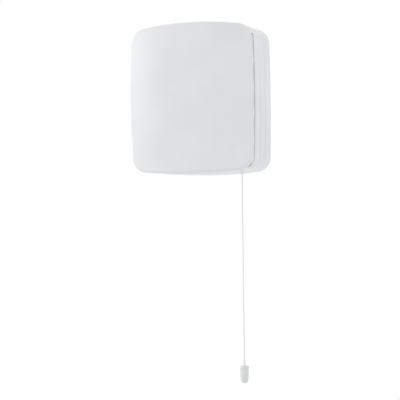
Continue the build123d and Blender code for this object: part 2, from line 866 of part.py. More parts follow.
def damper_flap(side):
    """Half of the backdraught shutter: a thin plate with its hinge knuckles and two ribs."""
    radius = spigot_inner - flap_clearance
    tall = 2 * (spigot_inner - pin_pad_depth - flap_clearance / 2)
    start = -(seat_start + seat_thickness + flap_seat_gap + flap_thickness)
    end = start + flap_thickness
    edge = knuckle_radius + knuckle_gap
    face = Circle(radius) & Rectangle(2 * radius, tall)
    face &= Pos(side * (edge + radius), 0) * Rectangle(2 * radius, 2 * radius)
    flap = slab(Pos(*duct) * face, start, end)
    for low, high in flap_knuckles(side):
        z_range = (duct[1] + low, duct[1] + high)
        x_range = sorted((duct[0], duct[0] + side * (edge + flap_rib)))
        flap += block(x_range, z_range, start, end)
        flap += post(duct[0], -hinge_line, knuckle_radius, *z_range)
    for height_share in (-0.45, 0.45):
        z = duct[1] + height_share * radius
        x_range = sorted((duct[0] + side * edge, duct[0] + side * 0.75 * radius))
        flap += block(x_range, (z - flap_rib / 2, z + flap_rib / 2), start - flap_rib_height, start)
    bore = hinge_pin_radius + running_gap
    return flap - post(duct[0], -hinge_line, bore, duct[1] - radius, duct[1] + radius)


def coil_spring(radius, wire, length, turns):
    """A round-wire spring standing on the origin, with its ends left open."""
    path = Helix(pitch=length / turns, height=length, radius=radius)
    section = Plane(origin=path @ 0, z_dir=path % 0) * Circle(wire)
    return sweep(section, path=path, is_frenet=True)


def damper_spring():
    """The light torsion spring that closes both flaps, wound round the pin."""
    length = spring_bay - 2 * knuckle_gap - 2 * damper_wire
    bottom = duct[1] - length / 2
    coil = coil_spring(damper_coil_radius, damper_wire, length, damper_turns)
    return Pos(duct[0], hinge_line, bottom) * coil


def terminal_screw_places():
    half = pole_count * pole_pitch / 2 + boss_radius
    return [(terminal_x - half, terminal_z), (terminal_x + half, terminal_z)]


def terminal_poles():
    first = terminal_x - (pole_count - 1) * pole_pitch / 2
    return [first + index * pole_pitch for index in range(pole_count)]


def terminal_block():
    """The mains terminal strip: a stepped body, a wire way through each pole and two ears."""
    half = pole_count * pole_pitch / 2
    start, end = mounting_face, mounting_face + terminal_depth
    z_range = (terminal_z - terminal_height / 2, terminal_z + terminal_height / 2)
    body = block((terminal_x - half, terminal_x + half), z_range, start, end)
    body = chamfer(body.edges().group_by(Axis.Y)[0].filter_by(Axis.X), terminal_step)
    for x in terminal_poles():
        body -= post(x, start + terminal_depth / 2, terminal_wire_radius, *z_range)
        for z in terminal_screw_rows():
            body -= peg((x, z), terminal_screw_radius, start + terminal_depth / 2, end)
    ends = [at[0] for at in terminal_screw_places()]
    ears = (terminal_z - boss_radius, terminal_z + boss_radius)
    body += block(ends, ears, start, start + ear_thickness)
    for at in terminal_screw_places():
        body += peg(at, boss_radius, start, start + ear_thickness)
        body -= peg(at, screw_radius + lip_gap, start, start + ear_thickness)
    return body


def terminal_screw_rows():
    return (terminal_z - terminal_height / 4, terminal_z + terminal_height / 4)


def terminal_screws():
    """The brass screws that grip the wires, two to a pole."""
    start = mounting_face + terminal_depth / 2 + terminal_wire_radius / 2
    end = mounting_face + terminal_depth - terminal_wire_radius
    radius = terminal_screw_radius - 2 * running_gap
    group = Part()
    for x in terminal_poles():
        for z in terminal_screw_rows():
            slot = Pos(x, z) * Rectangle(2 * terminal_screw_radius, recess_width)
            group += peg((x, z), radius, start, end) - slab(slot, end - recess_width, end)
    return group


def terminal_fixing_screws():
    """The screws through the terminal strip's ears."""
    return screws(terminal_screw_places(), mounting_face + ear_thickness, short_screw)


def clamp_screw_places():
    half = clamp_span / 2
    return [(terminal_x - half, clamp_z), (terminal_x + half, clamp_z)]


def cable_clamp():
    """A saddle that holds the supply cable, screwed down at both ends."""
    inner = clamp_span / 2 - clamp_foot
    crown = inner - clamp_slope
    lean = clamp_sheet / 2
    right = [
        (crown, clamp_rise), (inner, 0), (inner + 2 * clamp_foot, 0),
        (inner + 2 * clamp_foot, clamp_sheet), (inner + lean, clamp_sheet),
        (crown + lean, clamp_rise + clamp_sheet),
    ]
    points = right + [(-x, rise) for x, rise in reversed(right)]
    outline = make_face(Polyline([(x, -(mounting_face + rise)) for x, rise in points], close=True))
    plan = Plane.XY.offset(clamp_z - clamp_width / 2) * Pos(terminal_x, 0) * outline
    saddle = extrude(plan, amount=clamp_width)
    for at in clamp_screw_places():
        saddle -= peg(at, screw_radius + lip_gap, mounting_face, mounting_face + clamp_sheet)
    return saddle


def cable_grommet():
    """The rubber grommet that the supply cable comes in through."""
    return turned((terminal_x, cable_z), [
        (cable_radius, -rubber_lip),
        (cable_hole_radius - rubber_lip / 2, -rubber_lip),
        (cable_hole_radius - rubber_lip / 2, 0),
        (cable_hole_radius, 0),
        (cable_hole_radius, plate_thickness),
        (cable_hole_radius + rubber_lip, plate_thickness),
        (cable_hole_radius + rubber_lip, plate_thickness + rubber_lip),
        (cable_radius, plate_thickness + rubber_lip),
    ])


def switch_screw_places():
    inset = switch_wall + boss_radius
    return [
        (switch_right + boss_radius - lip_gap, switch_top - inset),
        (switch_left + inset, switch_top + boss_radius - lip_gap),
    ]


def switch_body():
    """The pull switch's box, open to the front, with ears and the cord's nozzle below."""
    x_range, z_range = (switch_left, switch_right), (switch_bottom, switch_top)
    body = block(x_range, z_range, switch_back, switch_front)
    body = fillet(body.edges().filter_by(Axis.Y), switch_wall)
    floor = switch_bottom + switch_wall
    body += post(cord_x, cord_reach, nozzle_radius, cord_edge_z + nozzle_recess, floor)
    for at in switch_screw_places():
        root = trace(Line(at, (at[0] - switch_ear, at[1] - switch_ear)), 2 * boss_radius)
        body += peg(at, boss_radius, switch_back, switch_back + switch_wall)
        body += slab(root, switch_back, switch_back + switch_wall)
    hollow_x = (switch_left + switch_wall, switch_right - switch_wall)
    hollow_z = (floor, switch_top - switch_wall)
    body -= block(hollow_x, hollow_z, switch_back + switch_wall, switch_front)
    for at in switch_screw_places():
        body -= peg(at, screw_radius + lip_gap, 0, switch_back + switch_wall)
    pivot = (lever_pivot_x, lever_z)
    boss_front = cord_reach - lever_width / 2 - lip_gap
    body += peg(pivot, lever_pin_radius + lever_boss_wall, switch_back, boss_front)
    body -= peg(pivot, lever_pin_radius, switch_back + switch_wall / 2, switch_front)
    for x in contact_places():
        body -= contact_blade(x)
    return body - post(cord_x, cord_reach, 2 * cord_radius, cord_edge_z, floor)


def contact_places():
    first = cord_x + contact_from_cord
    return (first, first + contact_spacing)


def contact_blade(x):
    """The part of a contact that stands through the switch's top wall."""
    half = contact_thickness / 2
    top = switch_top + 2 * switch_wall
    return block((x - half, x + half), (switch_top - 2 * switch_wall, top),
                 cord_reach - contact_width / 2, cord_reach + contact_width / 2)


def switch_contacts():
    """The two brass blades of the pull switch, each with a bent foot."""
    blades = Part()
    for x in contact_places():
        z_range = (switch_top - 2 * switch_wall, switch_top - 2 * switch_wall + contact_thickness)
        x_range = (x - contact_width / 2, x + contact_width / 2)
        foot = block(x_range, z_range, cord_reach - contact_width / 2, cord_reach + contact_width / 2)
        blades += contact_blade(x) + foot
    return blades


def switch_cover():
    """The plate that closes the switch's front and holds the pin's other end."""
    inner_x = (switch_left + switch_wall, switch_right - switch_wall)
    inner_z = (switch_bottom + switch_wall, switch_top - switch_wall)
    outer_x, outer_z = (switch_left, switch_right), (switch_bottom, switch_top)
    plate = block(outer_x, outer_z, switch_front, switch_front + switch_wall)
    plate = fillet(plate.edges().filter_by(Axis.Y), switch_wall)
    rim = block(inner_x, inner_z, switch_front - switch_rim_height, switch_front)
    hole_x = (inner_x[0] + switch_rim, inner_x[1] - switch_rim)
    hole_z = (inner_z[0] + switch_rim, inner_z[1] - switch_rim)
    plate += rim - block(hole_x, hole_z, 0, depth)
    pivot = (lever_pivot_x, lever_z)
    boss_back = cord_reach + lever_width / 2 + lip_gap
    plate += peg(pivot, lever_pin_radius + lever_boss_wall, boss_back, switch_front + switch_wall / 2)
    return plate - peg(pivot, lever_pin_radius, 0, switch_front + switch_wall / 2)


def lever_pin():
    """The pin that the switch lever rocks on."""
    half_wall = switch_wall / 2
    pivot = (lever_pivot_x, lever_z)
    return peg(pivot, lever_pin_radius, switch_back + half_wall, switch_front + half_wall)


def switch_lever():
    """The rocking lever, with an open fork that the cord's knot pulls on."""
    start, end = cord_reach - lever_width / 2, cord_reach + lever_width / 2
    half = lever_thickness / 2
    tip = cord_x - 2 * knot_radius
    lever = block((tip, lever_pivot_x), (lever_z - half, lever_z + half), start, end)
    lever = fillet(lever.edges().filter_by(Axis.Z), lever_thickness / 2)
    lever += peg((lever_pivot_x, lever_z), lever_knuckle_radius, start, end)
    fork_x, fork_z = (tip, cord_x + fork_width), (lever_z - half, lever_z + half)
    lever -= block(fork_x, fork_z, cord_reach - fork_width / 2, cord_reach + fork_width / 2)
    return lever - peg((lever_pivot_x, lever_z), lever_pin_radius + running_gap, start, end)


def switch_spring():
    """The coil spring under the lever that lifts the cord again."""
    bottom = switch_bottom + switch_wall + return_wire
    length = lever_z - lever_thickness / 2 - return_wire - bottom
    coil = coil_spring(return_coil_radius, return_wire, length, return_turns)
    return Pos(cord_x + spring_from_cord, -cord_reach, bottom) * coil


def pull_cord():
    """The cord, one straight hanging run, with the knot that rests on the lever's fork."""
    cord = post(cord_x, cord_reach, cord_radius, connector_top, knot_z)
    return cord + Pos(cord_x, -cord_reach, knot_z) * Sphere(knot_radius)


def along_cord(points):
    """Revolves an outline of (radius, z) points about the cord."""
    face = make_face(Polyline(points, close=True))
    return Pos(cord_x, -cord_reach, 0) * revolve(Plane.XZ * face, Axis.Z, 360)


def cord_connector():
    """The small bell above the pull, which hides the cord's end."""
    top, bottom = connector_top, connector_top - connector_length
    return along_cord([
        (0, top), (connector_neck_radius, top), (connector_radius, top - connector_taper),
        (connector_radius, bottom + connector_taper), (connector_neck_radius, bottom), (0, bottom),
    ])


def cord_acorn():
    """The pull: a flat lip, a straight body and a tapered foot."""
    top = connector_top - connector_length
    body = along_cord([
        (0, top), (acorn_lip_radius, top), (acorn_lip_radius, top - acorn_lip_length),
        (acorn_radius, top - acorn_lip_length - edge_chamfer), (acorn_radius, top - acorn_body_length),
        (acorn_tip_radius, top - acorn_length), (0, top - acorn_length),
    ])
    rims = [e for e in body.edges() if e.geom_type == GeomType.CIRCLE]
    return fillet(rims, acorn_edge_round)


NODES = {
    "back_box": back_box,
    "front_cover": front_cover,
    "scroll_housing": scroll_housing,
    "inlet_plate": inlet_plate,
    "impeller": impeller,
    "impeller_clip": impeller_clip,
    "motor_shaft": motor_shaft,
    "rotor_core": rotor_core,
    "stator_core": stator_core,
    "coil_bobbin": coil_bobbin,
    "motor_winding": motor_winding,
    "motor_bracket_front": bracket_front,
    "motor_bracket_rear": bracket_rear,
    "bearing_front": lambda: bearing(front_bearing_start()),
    "bearing_rear": lambda: bearing(rear_bearing_start()),
    "motor_grommets": motor_grommets,
    "motor_tie_screws": motor_tie_screws,
    "scroll_screws": lambda: screws(scroll_lugs(), mounting_face + moulding_wall, short_screw),
    "inlet_plate_screws": lambda: screws(inlet_bosses(), plate_front, long_screw),
    "duct_spigot": duct_spigot,
    "spigot_seal": spigot_seal,
    "spigot_screws": lambda: screws(flange_ears(), plate_thickness + flange_thickness, stub_screw),
    "damper_flap_left": lambda: damper_flap(-1),
    "damper_flap_right": lambda: damper_flap(1),
    "damper_pin": damper_pin,
    "damper_spring": damper_spring,
    "terminal_block": terminal_block,
    "terminal_screws": terminal_screws,
    "terminal_fixing_screws": terminal_fixing_screws,
    "cable_clamp": cable_clamp,
    "clamp_screws": lambda: screws(clamp_screw_places(), mounting_face + clamp_sheet, short_screw),
    "cable_grommet": cable_grommet,
    "switch_body": switch_body,
    "switch_cover": switch_cover,
    "switch_contacts": switch_contacts,
    "switch_screws": lambda: screws(switch_screw_places(), switch_back + switch_wall, long_screw),
    "lever_pin": lever_pin,
    "switch_lever": switch_lever,
    "switch_spring": switch_spring,
    "pull_cord": pull_cord,
    "cord_connector": cord_connector,
    "cord_acorn": cord_acorn,
}

os.makedirs("parts", exist_ok=True)
for name, make in NODES.items():
    export_step(make(), "parts/" + name + ".step")
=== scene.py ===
# %% [markdown]
# # A wall-mounted centrifugal extractor fan
# The fan is a shallow white box with a bowed front. Room air goes in through long slots
# in both sides, a wheel behind the front throws it up into a duct in the wall, and a cord
# below works the switch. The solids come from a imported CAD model, which is loaded as a
# fixed frame. This lesson gives them their finishes, and adds the pieces that need finer
# surfaces than a solid gives: the braided cord with its knot, the turned pull with its
# bell, and the taped coil of the motor.

# %% Load the frame
import json
from math import cos, pi, radians, sin

import bmesh
import bpy
import numpy as np
from mathutils import Matrix, Vector


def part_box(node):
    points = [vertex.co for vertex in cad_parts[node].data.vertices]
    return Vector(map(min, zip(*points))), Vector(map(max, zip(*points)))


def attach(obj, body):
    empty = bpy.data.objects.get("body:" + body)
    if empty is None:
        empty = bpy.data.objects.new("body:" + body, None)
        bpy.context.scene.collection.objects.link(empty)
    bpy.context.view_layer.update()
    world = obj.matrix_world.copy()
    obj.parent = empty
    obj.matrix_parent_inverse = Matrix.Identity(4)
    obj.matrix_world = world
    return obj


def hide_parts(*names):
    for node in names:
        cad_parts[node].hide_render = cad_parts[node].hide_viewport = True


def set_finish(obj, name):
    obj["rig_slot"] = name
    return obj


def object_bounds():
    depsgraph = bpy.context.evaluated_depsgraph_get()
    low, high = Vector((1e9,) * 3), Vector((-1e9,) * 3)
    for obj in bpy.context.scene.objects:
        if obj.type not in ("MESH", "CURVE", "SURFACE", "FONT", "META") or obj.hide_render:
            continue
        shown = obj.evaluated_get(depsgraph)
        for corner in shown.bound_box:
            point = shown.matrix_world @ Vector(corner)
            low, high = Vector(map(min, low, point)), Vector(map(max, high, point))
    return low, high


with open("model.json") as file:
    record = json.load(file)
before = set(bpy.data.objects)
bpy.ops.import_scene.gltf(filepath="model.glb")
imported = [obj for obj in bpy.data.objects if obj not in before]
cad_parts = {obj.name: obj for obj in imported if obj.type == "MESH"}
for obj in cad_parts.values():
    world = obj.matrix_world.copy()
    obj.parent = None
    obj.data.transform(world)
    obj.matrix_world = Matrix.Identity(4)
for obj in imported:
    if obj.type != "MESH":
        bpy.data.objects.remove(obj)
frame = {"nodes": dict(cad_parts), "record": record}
cad_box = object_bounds()
nodes = frame["nodes"]
slot_of = {row["node"]: row["material_slot"] for row in frame["record"]["subparts"]}
bpy.context.scene.view_settings.view_transform = "Standard"

# %% [markdown]
# ## The camera
# The photograph was taken from a little to the fan's right and a little below it, with a
# long lens. The camera is placed on a sphere about the middle of the fan's back by a turn
# and a drop, then aimed slightly aside and rolled a fraction of a degree. The lens could
# also be shifted, but then every other view would inherit the shift, so it is aimed.

# %% Camera
image_side = 400
sensor_width = 36.0
view_distance = 2.1848
view_turn = radians(21.09)
view_drop = radians(4.805)
view_roll = radians(-0.7166)
focal_pixels = 1198.8
aim_aside, aim_up = -0.0099, -0.0808


def aimed_camera():
    """Camera at distance d, turn a and drop e: place = d (sin a cos e, -cos a cos e, -sin e).
    It looks along the line home plus two small offsets, then rolls about that line."""
    level = cos(view_drop)
    away = Vector((sin(view_turn) * level, -cos(view_turn) * level, -sin(view_drop)))
    world_up = Vector((0, 0, 1))
    right = (-away).cross(world_up).normalized()
    up = right.cross(-away)
    look = (-away + aim_aside * right + aim_up * up).normalized()
    right = look.cross(world_up).normalized()
    up = right.cross(look)
    rolled_right = cos(view_roll) * right + sin(view_roll) * up
    rolled_up = cos(view_roll) * up - sin(view_roll) * right
    lens = bpy.data.cameras.new("photo_view")
    lens.sensor_width = sensor_width
    lens.lens = focal_pixels * sensor_width / image_side
    lens.clip_end = 50
    camera = bpy.data.objects.new("photo_view", lens)
    turn = Matrix((rolled_right, rolled_up, -look)).transposed().to_4x4()
    camera.matrix_world = Matrix.Translation(view_distance * away) @ turn
    bpy.context.scene.collection.objects.link(camera)
    bpy.context.scene.camera = camera
    return lens.lens


print("lens", round(aimed_camera(), 1), "mm")

# %% [markdown]
# ## Surfaces from grids of points
# Every new piece is a surface worked out as an array: rows of points along it, columns
# around it. A grid of r by c points gives its faces by indexing alone. A row that sits on
# an axis collapses to one point, so doubles are merged before the normals are made to
# agree.

# %% Grid surfaces and turned shapes
same_point = 1e-6


def grid_object(name, points, closed_rows=False):
    """Object from a grid of points, rows by columns, whose columns join up in a ring.
    The face at (i, j) has the corners (i, j), (i + 1, j), (i + 1, j + 1) and (i, j + 1)."""
    rows, columns = points.shape[:2]
    index = np.arange(rows * columns).reshape(rows, columns)
    index = np.hstack([index, index[:, :1]])
    if closed_rows:
        index = np.vstack([index, index[:1]])
    faces = np.stack([index[:-1, :-1], index[1:, :-1], index[1:, 1:], index[:-1, 1:]], axis=-1)
    faces = faces.reshape(-1, 4)
    mesh = bpy.data.meshes.new(name)
    mesh.vertices.add(rows * columns)
    mesh.vertices.foreach_set("co", points.reshape(-1).astype(np.float32))
    mesh.loops.add(faces.size)
    mesh.loops.foreach_set("vertex_index", faces.reshape(-1).astype(np.int32))
    mesh.polygons.add(len(faces))
    mesh.polygons.foreach_set("loop_start", np.arange(0, faces.size, 4, dtype=np.int32))
    mesh.update(calc_edges=True)
    draft = bmesh.new()
    draft.from_mesh(mesh)
    bmesh.ops.remove_doubles(draft, verts=draft.verts, dist=same_point)
    bmesh.ops.recalc_face_normals(draft, faces=draft.faces)
    for face in draft.faces:
        face.smooth = True
    draft.to_mesh(mesh)
    draft.free()
    made = bpy.data.objects.new(name, mesh)
    bpy.context.scene.collection.objects.link(made)
    return made


def surface(name, points, body, slot, closed_rows=False):
    """A grid object that is a piece of the fan: it rides a body and takes a slot's finish."""
    piece = grid_object(name, points, closed_rows)
    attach(piece, body)
    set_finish(piece, slot)
    return piece


def turned_points(centre, profile, segments=72):
    """A profile of (radius, height) turned about an upright axis:
    point = centre + (r cos t, r sin t, h) for t from 0 to a full turn."""
    angle = np.linspace(0, 2 * pi, segments, endpoint=False)
    radius, level = np.array(profile, float).T
    x = centre[0] + radius[:, None] * np.cos(angle)
    y = centre[1] + radius[:, None] * np.sin(angle)
    z = np.broadcast_to(level[:, None], x.shape)
    return np.stack([x, y, z], axis=-1)


def rounded(profile, steps=6):
    """Rounds each inner corner of a profile of (radius, height, round): the corner P with
    neighbours A and B becomes the curve (1-t)^2 P0 + 2 t (1-t) P + t^2 P1, where P0 and P1
    lie on the two sides at the round's distance from P."""
    points = np.array([row[:2] for row in profile], float)
    rounds = np.array([row[2] for row in profile], float)
    before, corner, after = points[:-2], points[1:-1], points[2:]
    size = rounds[1:-1, None]
    start = corner + size * (before - corner) / np.linalg.norm(before - corner, axis=1)[:, None]
    end = corner + size * (after - corner) / np.linalg.norm(after - corner, axis=1)[:, None]
    t = np.linspace(0, 1, steps)[None, :, None]
    start, corner, end = start[:, None], corner[:, None], end[:, None]
    curve = (1 - t) ** 2 * start + 2 * t * (1 - t) * corner + t ** 2 * end
    return np.vstack([points[:1], curve.reshape(-1, 2), points[-1:]])


def unit(vectors):
    """Each vector divided by its length."""
    return vectors / np.linalg.norm(vectors, axis=-1)[:, None]


def ring_points(path, along, across, radius, columns):
    """Rings about a path. With T its direction and U an axis across it, each made one unit
    long, and V = T x U, a point is path + r (U cos t + V sin t). The radius is one number,
    or rows by columns."""
    along, across = unit(along), unit(across)
    upright = np.cross(along, across)
    angle = np.linspace(0, 2 * pi, columns, endpoint=False)[:, None]
    ring = across[:, None] * np.cos(angle) + upright[:, None] * np.sin(angle)
    return path[:, None] + np.asarray(radius)[..., None] * ring


def tube_points(path, radius, guide, columns):
    """A tube about an open path, whose rings start across a guide direction: U = G x T."""
    along = np.gradient(path, axis=0)
    across = np.cross(np.broadcast_to(guide, along.shape), along)
    return ring_points(path, along, across, radius, columns)


def capped(points):
    """Closes both ends of a tube with a row of points at the middle of its end ring."""
    first, last = points[0].mean(axis=0), points[-1].mean(axis=0)
    return np.concatenate([np.broadcast_to(first, points[:1].shape), points,
                           np.broadcast_to(last, points[-1:].shape)])


# %% [markdown]
# ## The pull cord
# A braided nylon cord of about 2 mm leaves a nozzle under the casing and hangs straight
# down, because the pull's weight keeps it taut. Its whole length shows in the photograph.
# A bevelled curve would be smooth, so the route is a NURBS curve, and the braid is a tube
# of points along it. Two families of strands cross at the tube, one going over where the
# other goes under, like a chess board wrapped round the cord.

# %% Cord
cord_x, cord_y = 0.0707, -0.033
cord_exit, cord_end = -0.1273, -0.4600
cord_radius = 0.00095
strands = 6
braid_relief = 0.16
cord_columns = 30
braid_spacing = 0.00021
sideways = Vector((1, 0, 0))
cord_route = [
    (cord_x, cord_y, cord_exit),
    (cord_x, cord_y, cord_exit - 12 * cord_radius),
    (cord_x, cord_y, (cord_exit + cord_end) / 2),
    (cord_x, cord_y, cord_end),
]


def route_points(name, route, spacing):
    """Points read from a NURBS curve, spread evenly by its measured length. Also gives how
    far along it each point lies."""
    line = bpy.data.curves.new(name, "CURVE")
    line.dimensions = "3D"
    line.resolution_u = 64
    spline = line.splines.new("NURBS")
    spline.points.add(len(route) - 1)
    for point, place in zip(spline.points, route):
        point.co = (*place, 1)
    spline.order_u = 3
    spline.use_endpoint_u = True
    holder = bpy.data.objects.new(name, line)
    bpy.context.scene.collection.objects.link(holder)
    bpy.context.view_layer.update()
    evaluated = holder.evaluated_get(bpy.context.evaluated_depsgraph_get())
    drawn = bpy.data.meshes.new_from_object(evaluated)
    found = np.empty(3 * len(drawn.vertices), np.float32)
    drawn.vertices.foreach_get("co", found)
    bpy.data.objects.remove(holder)
    bpy.data.meshes.remove(drawn)
    found = found.reshape(-1, 3).astype(float)
    step = np.linalg.norm(np.diff(found, axis=0), axis=1)
    travelled = np.concatenate([[0], np.cumsum(step)])
    even = np.linspace(0, travelled[-1], int(travelled[-1] / spacing) + 1)
    return np.stack([np.interp(even, travelled, found[:, k]) for k in range(3)], axis=-1), even


def braid_radius(even, radius, columns):
    """Radius of a braided cord. With a = n (t + s) and b = n (t - s), where t goes once
    round and s counts the cord's length in turns, the strand on top is a's where
    floor(a) + floor(b) is even and b's where it is odd. Its height is sqrt(1 - f^2), with
    f from -1 to 1 across the strand."""
    t = np.linspace(0, 1, columns, endpoint=False)[None, :]
    s = even[:, None] / (2 * pi * radius)
    first, second = strands * (t + s), strands * (t - s)
    over = (np.floor(first) + np.floor(second)) % 2 == 0
    share = np.where(over, first, second) % 1
    height = np.sqrt(np.clip(1 - (2 * share - 1) ** 2, 0, 1))
    return radius * (1 - braid_relief + braid_relief * height)


cord_line, cord_even = route_points("cord_route", cord_route, braid_spacing)
cord_braid = braid_radius(cord_even, cord_radius, cord_columns)
cord_tube = tube_points(cord_line, cord_braid, sideways, cord_columns)
cord = surface("pull_cord_braid", capped(cord_tube), "pull", "cord_white")
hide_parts("pull_cord")
print("cord", round(cord_even[-1] * 1000), "mm,", len(cord.data.polygons), "faces")

# %% [markdown]
# ## The cord's hidden end
# Inside the switch the cord ends in a knot that rests on a forked lever. A ball would do
# from afar, but with the cover off it should look tied, so the knot is a tube that winds
# three times round a ring while it goes twice round the middle, a trefoil.

# %% Knot and hidden run
knot_low, knot_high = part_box("pull_cord")
knot_radius = (knot_high.x - knot_low.x) / 2
knot_z = knot_high.z - knot_radius
knot_steps, knot_columns = 160, 14
hidden_steps = 190


def knot_path():
    """A trefoil: (2 + cos 3t) cos 2t, (2 + cos 3t) sin 2t and sin 3t, scaled to the knot."""
    t = np.linspace(0, 2 * pi, knot_steps, endpoint=False)
    scale = (knot_radius - cord_radius) / 3
    swell = 2 + np.cos(3 * t)
    path = np.stack([swell * np.cos(2 * t), swell * np.sin(2 * t), np.sin(3 * t)], axis=-1)
    return scale * path + (cord_x, cord_y, knot_z)


def closed_tube(path, radius, columns):
    """A tube about a closed path. Its rings start across the spoke from the path's middle
    to the path: U = S x T."""
    along = np.roll(path, -1, axis=0) - np.roll(path, 1, axis=0)
    across = np.cross(path - path.mean(axis=0), along)
    return ring_points(path, along, across, radius, columns)


knot_tube = closed_tube(knot_path(), cord_radius, knot_columns)
knot = surface("pull_cord_knot", knot_tube, "pull", "cord_white", closed_rows=True)
inner_height = np.linspace(knot_z, cord_exit, hidden_steps)
inner_line = np.full((hidden_steps, 3), (cord_x, cord_y, 0.0))
inner_line[:, 2] = inner_height
inner_braid = braid_radius(knot_z - inner_height, cord_radius, cord_columns)
inner_tube = tube_points(inner_line, inner_braid, sideways, cord_columns)
hidden_run = surface("pull_cord_inside", capped(inner_tube), "pull", "cord_white")
print("knot", round(2000 * knot_radius, 1), "mm across")

# %% [markdown]
# ## The pull and its bell
# The pull is a small turned shape: a flat lip, a straight body, a tapered foot with a
# hollow in it where the cord is tied. A lathe profile says all of that in a few points,
# and each corner gets its own round. Above it a little bell hides the hole the cord goes
# through. Both are mouldings, and a fine parting line runs down two sides of the pull.

# %% Pull and bell
parting_height = 0.00006
parting_width = 0.05
smallest_radius = 1e-9
pull_segments, bell_segments = 128, 72


def with_parting_line(points, centre):
    """Adds the mould's parting line: the radius grows by h exp(-(a / w)^2), where a is the
    angle from the plane that splits the mould. Points near the axis stay where they are."""
    offset = points[..., :2] - np.array(centre)
    radius = np.linalg.norm(offset, axis=-1)
    outward = offset / np.maximum(radius, smallest_radius)[..., None]
    angle = np.arcsin(np.clip(outward[..., 0], -1, 1))
    grow = parting_height * np.exp(-(angle / parting_width) ** 2)
    moved = points.copy()
    moved[..., :2] += outward * np.where(radius > 4 * parting_height, grow, 0)[..., None]
    return moved


acorn_low, acorn_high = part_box("cord_acorn")
bell_low, bell_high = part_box("cord_connector")
lip_radius = (acorn_high.x - acorn_low.x) / 2 - parting_height
body_radius, foot_radius = 0.0074, 0.0047
lip_length, body_length = 0.0030, 0.0215
foot_hollow_radius, foot_hollow_depth = 0.0026, 0.0060
top, bottom = acorn_high.z, acorn_low.z
acorn_profile = [
    (0, top, 0),
    (lip_radius, top, 0.0009),
    (lip_radius, top - lip_length, 0.0009),
    (body_radius, top - lip_length - 0.0008, 0.0006),
    (body_radius, top - body_length, 0.0030),
    (foot_radius, bottom, 0.0007),
    (foot_hollow_radius, bottom, 0.0004),
    (foot_hollow_radius - 0.0004, bottom + foot_hollow_depth, 0.0008),
    (0, bottom + foot_hollow_depth, 0),
]
pull_axis = (cord_x, cord_y)
acorn_points = turned_points(pull_axis, rounded(acorn_profile), pull_segments)
acorn = surface("pull_acorn", with_parting_line(acorn_points, pull_axis), "pull", "pull_plastic")
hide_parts("cord_acorn")

bell_radius = (bell_high.x - bell_low.x) / 2
bell_foot_radius = 0.72 * bell_radius
bell_slope = 0.0034
bell_profile = [
    (cord_radius * 0.8, bell_high.z - 0.0006, 0),
    (cord_radius * 1.1, bell_high.z - 0.0002, 0.0002),
    (cord_radius * 1.5, bell_high.z, 0.0002),
    (bell_radius, bell_high.z - bell_slope, 0.0016),
    (bell_radius, bell_low.z + bell_slope, 0.0012),
    (bell_foot_radius, bell_low.z + 0.0016, 0.0006),
    (bell_foot_radius, bell_low.z, 0),
    (0, bell_low.z, 0),
]
bell_points = turned_points(pull_axis, rounded(bell_profile), bell_segments)
bell = surface("pull_bell", bell_points, "pull", "pull_plastic")
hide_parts("cord_connector")
print("pull", round(1000 * (top - bottom), 1), "mm long")

# %% [markdown]
# ## The motor's coil
# The coil sits on a nylon former below the rotor, wound from enamelled wire and wrapped in
# tape. A box with a fabric pattern would look flat, so the winding is a surface whose
# rounded-rectangle section swells and sinks with each turn of the tape.

# %% Coil
coil_low, coil_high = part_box("motor_winding")
tape_turns = 13
tape_relief = 0.00035
coil_round = 0.0042
coil_rows, coil_columns = 160, 96
end_share, end_shrink = 1 / 24, 0.4


def coil_points():
    """A sleeve about the coil's leg. Its section at angle t is a rounded rectangle, the
    corner's centre (a sign cos t, b sign sin t) plus r (cos t, sin t). Along the leg, with
    u from 0 to 1, the radius r loses q |cos(pi n u + t / 2)|^4, which makes the tape's
    overlapping turns, and near both ends it shrinks with the root of the way to the end."""
    middle = (coil_low + coil_high) / 2
    half = (coil_high - coil_low) / 2
    t = np.linspace(0, 2 * pi, coil_columns, endpoint=False) + pi / coil_columns
    u = np.linspace(0, 1, coil_rows)[:, None]
    dip = tape_relief * np.abs(np.cos(pi * tape_turns * u + t[None, :] / 2)) ** 4
    ends = np.minimum(1, np.minimum(u, 1 - u) / end_share)
    radius = (coil_round - dip) * (1 - end_shrink + end_shrink * np.sqrt(ends))
    y = middle.y + np.sign(np.cos(t)) * (half.y - coil_round) + radius * np.cos(t)
    z = middle.z + np.sign(np.sin(t)) * (half.z - coil_round) + radius * np.sin(t)
    x = np.broadcast_to(coil_low.x + 2 * half.x * u, y.shape)
    return capped(np.stack([x, y, z], axis=-1))


coil = surface("motor_coil_taped", coil_points(), "housing", "winding_tape")
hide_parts("motor_winding")
print("coil", [round(1000 * v, 1) for v in coil_high - coil_low], "mm")

# %% [markdown]
# ## Shader sums
# A finish is mostly arithmetic on patterns: a colour times one plus a little noise, a
# bump from the difference of two scales. Written with nodes that is a page per line. So a
# socket is wrapped in a small class that turns +, -, * and / into Math nodes, and one
# method makes any other node from its settings and its sockets.

